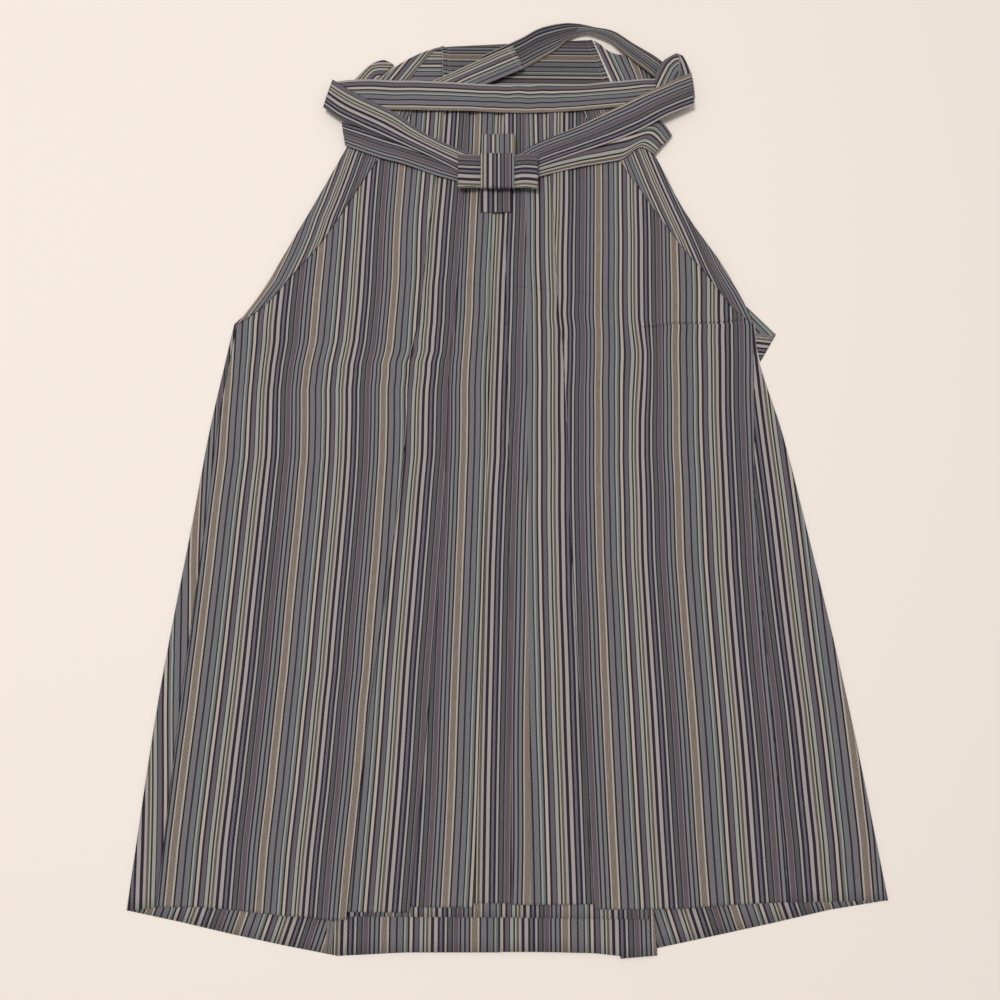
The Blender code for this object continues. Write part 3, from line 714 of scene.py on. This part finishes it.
def back(hand, side):
    """The back of one leg: round the side from the seam, under the front, to its centre pleat."""
    rows = []
    wrap, floor, hidden, middle = (HEM[f"{part}_{hand}"]
                                   for part in ("wrap", "back", "back_hidden", "back_middle"))
    for y in heights_of(BACK_TOP, 11.0):
        seam, fold, stack = (line(f"{edge}_{hand}", y) for edge in ("seam", "fold", "stack"))
        inside = -side * (GAP / 2 + 0.6)
        top = CLOTH / 2 + LAYER
        share = drop_share(y)
        begin = seam - side * (GAP / 2 + 0.1)
        start_u = grain(f"wrap_{hand}", begin, y)
        made = []

        def add(x, z, drop, u):
            made.append((x, y + drop * share, z, u, y))

        for k, x in enumerate(spread(begin, fold + side * FOLD_OUT, 15)):
            lift = min(1.0, k / 2) * min(1.0, (14 - k) / 3) if y < OPENING - 10 else 0.0
            z = top + lift * (crease(x, y, WRAP_CREASES) + 0.8 * swell(x, y, 1.7)) - (0.2 if k == 0 else 0)
            stray = 0.4 * math.sin(y / 37 + x / 50)
            add(x, z, wrap[1] + (wrap[0] - wrap[1]) * k / 14,
                start_u + side * (abs(x - begin) + stray) / WRAP_PITCH)
        fold_u = start_u + side * abs(fold - begin) / WRAP_PITCH
        for k, (x, z) in enumerate(arc(fold, y, -side, 1, lambda *_: 0)):
            add(x, z, wrap[0], fold_u + side * k * 0.35 / WRAP_PITCH)
        for k, x in enumerate(spread(fold + side * FOLD_OUT, stack, 33)):
            drop = side_drop(floor, k / 32)
            add(x, CLOTH / 2, drop, floor_grain(side, x, y + drop * share))
        add(inside - side * FOLD_OUT, CLOTH / 2, hidden, floor_grain(side, inside, y))
        for x, z in arc(inside, y, side, 1, lambda *_: 0)[::-1]:
            add(x, z, hidden, floor_grain(side, inside, y))
        add(inside - side * FOLD_OUT, top, hidden, floor_grain(side, inside, y) + 0.01)
        add(stack + side * FOLD_OUT, top, hidden, back_grain(stack) - side * 0.02)
        for x, z in arc(stack, y, -side, 2, lambda *_: 0)[::-1]:
            add(x, z, middle[0], back_grain(x))
        high = CLOTH / 2 + 2 * LAYER
        at_stack, at_step, past_step, at_centre = middle
        for t in (0.04, 0.35, 0.7, 1.0):
            x = stack + side * BACK_STEP * t
            add(x, high, at_stack + (at_step - at_stack) * t, back_grain(x))
        for x in spread(stack + side * (BACK_STEP + 0.6), -side * GAP / 2, 12):
            past = abs(x - stack) - BACK_STEP
            drop = past_step
            if past <= BACK_STEP_EASE:
                drop = at_step + (past_step - at_step) * (0.45 + 0.55 * past / BACK_STEP_EASE)
            add(x, high, drop + (at_centre - past_step) * ease((past - BACK_STEP_EASE) / 60), back_grain(x))
        rows.append(made)
    shell(f"back_panel_{hand}", rows, CLOTH_STRIPES)


def inner(hand, side):
    rows = []
    outer_drop, drop = HEM["inner"][0 if side > 0 else 1], HEM["inner"][0]
    for y in spread(CROTCH - 5, 0, 40):
        outer = line(f"stack_{hand}", y) + side * 8
        row = []
        for t in spread(0, 1, 20):
            x = outer + (-side * GAP / 2 - outer) * t
            dy = (outer_drop + (drop - 1 - outer_drop) * t) * drop_share(y)
            row.append((x, y + dy, CLOTH / 2 + 3 * LAYER, 0.3 + x / PITCH, y))
        rows.append(row)
    shell(f"inner_panel_{hand}", rows, CLOTH_STRIPES)


# a light stripe on each side fold: (y, x) from its lower end up, and its place across the warp
FOLD_STRIPE = {
    "left": ((647.6, -258.9), (669.9, -244.2), (694, -229.5), (710, -223), (726.5, -216.3),
             (747.8, -208.9), (776, -201), (796, -193.8), (826, -184.1), (856.7, -175), (935, -149)),
    "right": ((645.4, 259.5), (665.6, 251.8), (686, 244.9), (717.5, 233.4), (761, 217.5),
              (785.7, 207.9), (818.5, 195.8), (851.7, 184.5), (935, 157)),
}
FOLD_STRIPE_PLACE = 0.612


def side_fold(hand, side):
    """A narrow fold that lies on a front beside its slanting edge and runs out at the side opening."""
    rows = []
    for y in spread(FRONT_TOP - 10, 639.5, 72):
        outer = line(f"edge_{hand}", y) - side * 0.5
        edge_in = at_height(SIDE_FOLD_INNER[hand], y, SIDE_FOLD_HEIGHTS)
        narrow = 0.12 + 0.88 * ease((y - 634) / 26)
        pitch = 69 if side > 0 else 68 + 26 * ease((720 - y) / 60)
        row = []
        for k, t in enumerate(spread(0, 1, 14)):
            x = outer + (edge_in - outer) * t * narrow
            z = front_z(x, y, 1) + 0.35 * crease(x, y, CREASES) + 0.35 * math.sin(math.pi * t)
            z += 0.15 * math.sin(y / 23 + 3 * t) - 0.15 * (k in (0, 13))
            stray = 0.5 * math.sin(y / 33 + 2 * t)
            row.append((x, y, z, FOLD_STRIPE_PLACE + (x + stray - between(FOLD_STRIPE[hand], y)) / pitch, y))
        rows.append(row)
    shell(f"side_fold_{hand}", rows, CLOTH_STRIPES)


def leaf(name):
    return lambda x, y: grain(name, x, y)


front("left", 1, ("pleat_1", "pleat_2", "pleat_3"),
      (grain_a, leaf("leaf_b"), leaf("leaf_c"), leaf("leaf_d")))
front("right", -1, ("pleat_5", "pleat_4"), (grain_f, grain_e))
for make in (back, inner, side_fold):
    make("left", 1)
    make("right", -1)


# ---- Ties: strips of folded cloth on the surface of their solids ----
def curve(points, per):
    """A smooth curve through the points, per steps to each stretch."""
    out = []
    last = len(points) - 1
    for i in range(last):
        a, b, c, d = (Vector(points[min(max(k, 0), last)]) for k in (i - 1, i, i + 1, i + 2))
        for k in range(per):
            t = k / per
            out.append(((b * 2) + (c - a) * t + (a * 2 - b * 5 + c * 4 - d) * t * t
                        + (b * 3 - a - c * 3 + d) * t ** 3) / 2)
    return out + [Vector(points[-1])]


def runs(points):
    """How far along a line of points each of them is."""
    out = [0.0]
    for p, q in zip(points, points[1:]):
        out.append(out[-1] + (q - p).length)
    return out


def along(points, n):
    """n points at equal steps along a smooth curve through the points."""
    fine = curve(points, 12)
    reach = runs(fine)
    out = []
    k = 0
    for i in range(n):
        want = reach[-1] * i / (n - 1)
        while k < len(fine) - 2 and reach[k + 1] < want:
            k += 1
        share = (want - reach[k]) / max(reach[k + 1] - reach[k], 1e-9)
        out.append(fine[k].lerp(fine[k + 1], min(max(share, 0.0), 1.0)))
    return out


def solid_tree(name):
    mesh = bpy.data.objects[name].data
    return BVHTree.FromPolygons([v.co.copy() for v in mesh.vertices],
                                [list(p.vertices) for p in mesh.polygons])


def top_of(tree, x, y, towards):
    """Height of the solid's top at a point, or a little inwards where the point is just outside."""
    for k in range(7):
        p = place(x + (towards[0] - x) * 0.06 * k, y + (towards[1] - y) * 0.06 * k, 0)
        hit = tree.ray_cast(Vector((p.x, p.y, 1.0)), Vector((0, 0, -1)))[0]
        if hit is not None:
            return hit.z / MM
    near = tree.find_nearest(place(x, y, 10))[0]
    return near.z / MM


# place across the warp at the strip's start and end, on its upper edge and then on its lower edge
TIE_GRAIN = {
    "back_tie_end": ((0.559, 0.559), (0.114, 0.114)),
    "tie_lower_left": ((0.614, 0.586), (0.985, 0.985)),
    "tie_lower_right": ((0.294, 0.139), (0.550, 0.545)),
    "front_band": ((0.471, 0.471), (0.039, 0.038)),
    "tie_upper_left": ((0.371, 0.395), (0.782, 0.730)),
    "tie_upper_right": ((0.984, 1.071), (0.614, 0.614)),
    "knot_tab": ((1.504, 1.504), (1.038, 1.038)),
    "knot_tail": ((0.559, 0.559), (0.899, 0.899)),
}
# for the rest: the edge their stripes follow, the place across the warp there, and its change
TIE_EDGE = {
    "back_tie_right": (((119.5, 1009), (129, 985), (139, 958), (143, 944)), 0.42, -1),
    "tie_loop_left": (((-192, 944), (-181, 964), (-173, 974), (-163, 984.5), (-150, 987), (-120, 986)),
                      0.585, -1),
    "tie_turn_right": (((180, 930), (186, 948), (194, 966), (201, 980), (211, 991), (222, 995), (250, 992)),
                       0.427, -1),
}
ARC_FOLD = 97              # where the back tie over the board is folded over, along x
# the loose end at the side opening: where it is folded over, that line's slope, the edge its stripes follow
SIDE_TIE_FOLD, SIDE_TIE_SLOPE, SIDE_TIE_EDGE = (298, 627.6), -0.117, ((288.3, 663), (322.3, 624.4))
# the rounded end of the turned tie: from which x, and the edge its stripes follow
TURN_END, TURN_END_EDGE = 222, ((228, 998), (234, 985), (238, 970), (240, 940))


def from_edge(points, x, y):
    """Distance from a line of points, whose two ends run on straight."""
    best = 1e9
    last = len(points) - 2
    for i, ((ax, ay), (bx, by)) in enumerate(zip(points, points[1:])):
        dx, dy = bx - ax, by - ay
        t = ((x - ax) * dx + (y - ay) * dy) / (dx * dx + dy * dy)
        t = min(max(t, 0.0 if i > 0 else -9.0), 1.0 if i < last else 9.0)
        best = min(best, math.hypot(x - ax - t * dx, y - ay - t * dy))
    return best


def tie_grain(name, x, y, s, t):
    """Place across the warp at a point of a tie, s of the way along it and t of the way down."""
    if name == "side_tie_end":
        below = SIDE_TIE_FOLD[1] + SIDE_TIE_SLOPE * (x - SIDE_TIE_FOLD[0]) - y
        return 0.47 + below / PITCH if below > 0 else 0.30 - from_edge(SIDE_TIE_EDGE, x, y) / PITCH
    if name == "tie_turn_right" and x > TURN_END:
        return 0.52 + from_edge(TURN_END_EDGE, x, y) / PITCH
    if name in TIE_EDGE:
        points, u, way = TIE_EDGE[name]
        return u + way * from_edge(points, x, y) / PITCH
    (u_top0, u_top1), (u_low0, u_low1) = TIE_GRAIN[name]
    u0 = u_top0 + (u_top1 - u_top0) * s
    u1 = u_low0 + (u_low1 - u_low0) * s
    return u0 + (u1 - u0) * t


def closed_strip(name, rows, uvs, thickness, material=TIE_STRIPES):
    """A folded strip: upper and lower faces that meet in rounded edges. rows hold (x, y, z) middles."""
    n, m = len(rows), len(rows[0])
    bm = bmesh.new()
    layer = bm.loops.layers.uv.new("grain")
    edge_run = runs([Vector(p) for p in rows[n // 2]])

    def half(j, i):
        rounding, end_share, thinnest = 1.4, 0.55, 0.22         # millimetres, shares of the thickness
        near = min(edge_run[i], edge_run[-1] - edge_run[i])
        share = 1.0 if near >= rounding else math.sqrt(max(0.0, 1 - (1 - near / rounding) ** 2))
        if j in (0, n - 1):
            share *= end_share
        return thickness / 2 * max(share, thinnest)

    top, low = ([[bm.verts.new(place(x, y, z + way * half(j, i))) for i, (x, y, z) in enumerate(row)]
                 for j, row in enumerate(rows)] for way in (1, -1))

    def face(*corners):
        made = bm.faces.new([grid[j][i] for grid, j, i in corners])
        made.smooth = True
        for loop, (_, j, i) in zip(made.loops, corners):
            loop[layer].uv = (uvs[j][i][0], uvs[j][i][1] * MM)

    for j in range(n - 1):
        for i in range(m - 1):
            face((top, j, i), (top, j + 1, i), (top, j + 1, i + 1), (top, j, i + 1))
            face((low, j, i + 1), (low, j + 1, i + 1), (low, j + 1, i), (low, j, i))
    for j in range(n - 1):
        for i, a, b in ((0, low, top), (m - 1, top, low)):
            face((a, j, i), (a, j + 1, i), (b, j + 1, i), (b, j, i))
    for i in range(m - 1):
        for j, a, b in ((0, top, low), (n - 1, low, top)):
            face((a, j, i), (a, j, i + 1), (b, j, i + 1), (b, j, i))
    bmesh.ops.recalc_face_normals(bm, faces=bm.faces)
    declare(add_piece(name, bm, material), name, rows)


def across_strip(n, turn=0.055):
    """Shares across a strip, closer together at its rounded edges."""
    return [0.0, 0.012, 0.03, turn] + spread(0.1, 0.9, n) + [1.0 - turn, 0.97, 0.988, 1.0]


def band_wave(name, t, x):
    """Small waves of the front band's stripes and surface along its length, in millimetres."""
    if name != "front_band":
        return 0.0
    calm = math.exp(-((x - 30) / 55) ** 2)
    return 0.7 * calm * math.sin(x / 4.6) * (1 - abs(2 * t - 1) * 0.6)


def tie(name):
    upper, lower = TIES[name]
    tree = solid_tree(name)
    row_step, fine_steps = 3.2, 40
    n = max(8, int(runs([Vector(p) for p in upper])[-1] / row_step))
    fine = fine_steps * (n - 1) + 1
    tops, bottoms = along(upper, fine), along(lower, fine)
    steps = [fine_steps * j for j in range(n)]
    fold_x = ARC_FOLD - 2
    if name == "back_tie_arc":                  # a row to each side of the fold
        fold = min(range(fine), key=lambda k: abs((tops[k].x + bottoms[k].x) / 2 - fold_x))
        steps = sorted({k for k in steps if abs(k - fold) > 6} | {fold - 2, fold + 2})
    tops, bottoms = [tops[k] for k in steps], [bottoms[k] for k in steps]
    n = len(steps)
    middle = [(a + b) / 2 for a, b in zip(tops, bottoms)]
    shares = across_strip(15, 0.05)
    heights = []
    for j in range(n):
        inner_j = min(max(j, 1), n - 2)
        row = []
        for t in shares:
            tt = min(max(t, 0.05), 0.95)
            p = tops[j].lerp(bottoms[j], tt)
            p = p.lerp(tops[inner_j].lerp(bottoms[inner_j], tt), 0.7 if j != inner_j else 0)
            row.append(top_of(tree, p.x, p.y, middle[inner_j]) - TIE / 2)
        heights.append(row)
    for _ in range(3):                          # take the corners off the solid's facets
        soft = [row[:] for row in heights]
        for j in range(n):
            for i in range(len(shares)):
                around = [heights[min(max(j + a, 0), n - 1)][min(max(i + b, 0), len(shares) - 1)]
                          for a, b in ((-1, 0), (1, 0), (0, -1), (0, 1))]
                value = 0.5 * heights[j][i] + 0.125 * sum(around)
                soft[j][i] = max(value, heights[j][i] - 0.12)
        heights = soft
    rows, uvs = [], []
    for j, run in enumerate(runs(middle)):
        before_fold = name == "back_tie_arc" and middle[j].x < fold_x
        rise = 0.45 * math.exp(-((fold_x - middle[j].x) / 14) ** 2) if before_fold else 0.0
        row, uv = [], []
        for i, t in enumerate(shares):
            p = tops[j].lerp(bottoms[j], t)
            shift = band_wave(name, t, p.x)
            ripple = 0.10 * math.sin(run / 11.0 + 5 * t) * math.sin(math.pi * t)
            if name == "back_tie_arc":
                u = 0.62 + 0.425 * t if before_fold else 0.455 - 0.415 * t
            else:
                u = tie_grain(name, p.x, p.y, steps[j] / (fine - 1), t)
            row.append((p.x, p.y, heights[j][i] + 0.16 * shift + ripple + rise))
            uv.append((u + shift / PITCH, run))
        rows.append(row)
        uvs.append(uv)
    # the back tie over the board takes the stripes darkened as painted shade
    stripes = {"back_tie_end": TIE_END_STRIPES, "back_tie_arc": ARC_PAINTED_SHADE_STRIPES}.get(name, TIE_STRIPES)
    closed_strip(name, rows, uvs, TIE_SHELL, material=stripes)


for tie_name in TIES:
    tie(tie_name)


def folded_tie():
    """The left back tie: its lower layer, the fold along its outer edge, its upper layer."""
    rows = []
    n = 26
    outer, upper, lower = along(BACK_TIE_OUTER, n), along(BACK_TIE_UPPER, n), along(BACK_TIE_LOWER, n)
    low, high = CLOTH / 2, CLOTH / 2 + LAYER
    for run, o, u, w in zip(runs(outer), outer, upper, lower):
        inward = (w - o).normalized()
        start = o + inward * FOLD_OUT
        end = o + (u - o).normalized() * FOLD_OUT
        below, bend, above = [], [], []
        for t in spread(0, 1, 14):
            p = w.lerp(start, t)
            below.append((p.x, p.y, low, 0.2 + (p.y - 969) / PITCH, run))
        for t in spread(0, 1, 10):
            p = end.lerp(u, t)
            above.append((p.x, p.y, high + 0.25 * math.sin(math.pi * t),
                          0.545 - from_edge(BACK_TIE_UPPER, p.x, p.y) / PITCH, run))
        for k in range(1, 6):
            angle = -math.pi / 2 + math.pi * k / 6
            p = o + inward * (FOLD_OUT - FOLD * math.cos(angle))
            bend.append((p.x, p.y, (low + high) / 2 + FOLD * math.sin(angle), above[0][3], run))
        rows.append(below + bend + above)
    shell("back_tie_left", rows, TIE_STRIPES, FOLDED_TIE_SHELL)


folded_tie()


# ---- Board: padded edges, its cover seamed a little in from each side ----
def board():
    low_left, low_right, right, top_right, top_left, left = BOARD_OUTLINE
    seam_in, row_count = 6, 60                  # the seam's distance from each side
    left_edge, right_edge = (along(side, row_count) for side in ((top_left, left, low_left),
                                                                 (top_right, right, low_right)))
    rows, uvs = [], []
    for a, b in zip(left_edge, right_edge):
        seam = seam_in / (b - a).length
        shares = ([0, 0.004, 0.012, 0.024, seam - 0.0015, seam + 0.0015]
                  + spread(seam + 0.014, 0.986 - seam, 46)
                  + [1 - seam - 0.0015, 1 - seam + 0.0015, 0.976, 0.988, 0.996, 1])
        row, uv = [], []
        for t in shares:
            p = a.lerp(b, t)
            from_side = min((p - a).length, (b - p).length)
            row.append((p.x, p.y, BOARD / 2 - 0.30 * math.exp(-((from_side - seam_in) / 0.9) ** 2)))
            offset = 0.012 if from_side < seam_in else 0.0
            uv.append((0.278 - (p.y - 969.6) / PITCH - 0.00012 * (p.x - 87) + offset, from_side))
        rows.append(row)
        uvs.append(uv)
    closed_strip("back_board", rows, uvs, BOARD_SHELL, BOARD_STRIPES_PAINTED_SHADE)


board()


# ---- Knot ----
def knot_bar(low_z, rise, pinch):
    """The bar wound across the ties and pinched in the middle: a path of (x, z), swept down the garment."""
    def end(edge, side):
        """Round one end, from below to above, side -1 on the left."""
        return [(edge - side * 1.7, low_z + 0.5), (edge - side * 0.8, low_z + 0.5 * rise),
                (edge - side * 1.7, low_z + 0.86 * rise), (edge - side * 5, low_z + rise)]

    path = curve([(-3.2, low_z), (-14, low_z), (KNOT_LEFT + 4, low_z)] + end(KNOT_LEFT, -1)
                 + [(WRAP_LEFT - 8, low_z + rise), (WRAP_LEFT + 2, low_z + pinch),
                    (WRAP_RIGHT - 2, low_z + pinch), (WRAP_RIGHT + 8, low_z + rise)]
                 + end(KNOT_RIGHT, 1)[::-1] + [(KNOT_RIGHT - 4, low_z), (8, low_z), (-1.2, low_z)], 5)
    rows, uvs = [], []
    for (x, z), run in zip(path, runs(path)):
        crown = 0.3 if z > low_z + 0.5 * rise else 0.0
        narrow = 1.2 * ease((x - WRAP_RIGHT - 8) / 20)
        row, uv = [], []
        for t in across_strip(15):
            y = KNOT_TOP + (KNOT_BOTTOM - KNOT_TOP - narrow) * t
            row.append((x, y, z + crown * math.sin(math.pi * t)))
            uv.append((0.878 - 0.382 * t + 0.006 * math.sin(x / 7), run))
        rows.append(row)
        uvs.append(uv)
    closed_strip("knot_bar", rows, uvs, KNOT_SHELL)


def knot_wrap(low_z, rise, pinch):
    """The turn over the bar's middle: a path of (y, z), swept across."""
    high = low_z + pinch + TIE + GAP
    rim = low_z + rise + TIE + GAP
    foot = low_z + 0.4
    out = TIE / 2 + 0.8
    path = curve([(KNOT_TOP + out, foot), (KNOT_TOP + out, high - 1.2), (KNOT_TOP + out - 1, high - 0.2),
                  (KNOT_TOP - 3, rim - 0.45), (KNOT_TOP - 21, rim - 0.1), (KNOT_BOTTOM + 3, rim - 0.45),
                  (KNOT_BOTTOM - out + 1, high - 0.2), (KNOT_BOTTOM - out, high - 1.2),
                  (KNOT_BOTTOM - out, foot)], 5)
    rows, uvs = [], []
    for (y, z), run in zip(path, runs(path)):
        shares = across_strip(13)
        rows.append([(WRAP_LEFT + (WRAP_RIGHT - WRAP_LEFT) * t, y, z + 0.12 * math.sin(math.pi * t))
                     for t in shares])
        uvs.append([(0.490 + 0.436 * t, run) for t in shares])
    closed_strip("knot_wrap", rows, uvs, KNOT_SHELL)


# the middle of the bar's lower run, and how far above it the upper run is, at large and under the wrap
KNOT_SIZES = (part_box("knot_bar")[0].z / MM + TIE / 2, 3.4, 2.1)
knot_bar(*KNOT_SIZES)
knot_wrap(*KNOT_SIZES)


# ---- Floor, light and camera: metres, watts, degrees, and millimetres for the lens ----
FLOOR_COLOUR = (238, 227, 218)
SKY_COLOUR, SKY_STRENGTH = (1.0, 0.99, 0.98, 1), 0.5
LAMP_PLACE, LAMP_SIZE, LAMP_POWER = (-0.8, 0.4, 3.65), 1.3, 82
CAMERA_PLACE, CAMERA_TILT, CAMERA_LENS, CAMERA_SENSOR = (-0.0080, -0.2981, 1.1053), 12, 36.0, 36.0


def floor():
    bm = bmesh.new()
    half = 4.0                             # metres
    corners = ((-half, -half), (half, -half), (half, half), (-half, half))
    bm.faces.new([bm.verts.new((x, y, 0)) for x, y in corners])
    material = bpy.data.materials.new("floor")
    material.use_nodes = True
    shader = material.node_tree.nodes["Principled BSDF"]
    shader.inputs["Base Color"].default_value = (*linear(FLOOR_COLOUR), 1)
    shader.inputs["Roughness"].default_value = 0.9
    shader.inputs["Specular IOR Level"].default_value = 0.1
    add_piece("floor", bm, material)


def lamp():
    """A round lamp aimed at the middle of the floor."""
    data = bpy.data.lights.new("key", "AREA")
    data.shape = "DISK"
    data.size = LAMP_SIZE
    data.energy = LAMP_POWER
    obj = bpy.data.objects.new("key", data)
    bpy.context.scene.collection.objects.link(obj)
    obj.location = LAMP_PLACE
    obj.rotation_euler = (-Vector(LAMP_PLACE)).to_track_quat("-Z", "Y").to_euler()


def camera():
    data = bpy.data.cameras.new("camera")
    data.lens = CAMERA_LENS
    data.sensor_width = CAMERA_SENSOR
    obj = bpy.data.objects.new("camera", data)
    bpy.context.scene.collection.objects.link(obj)
    obj.location = CAMERA_PLACE
    obj.rotation_euler = (math.radians(CAMERA_TILT), 0, 0)
    bpy.context.scene.camera = obj


floor()
world = bpy.data.worlds.new("studio")
bpy.context.scene.world = world
world.use_nodes = True
world.node_tree.nodes["Background"].inputs[0].default_value = SKY_COLOUR
world.node_tree.nodes["Background"].inputs[1].default_value = SKY_STRENGTH
lamp()
bpy.context.scene.view_settings.view_transform = "Standard"
camera()
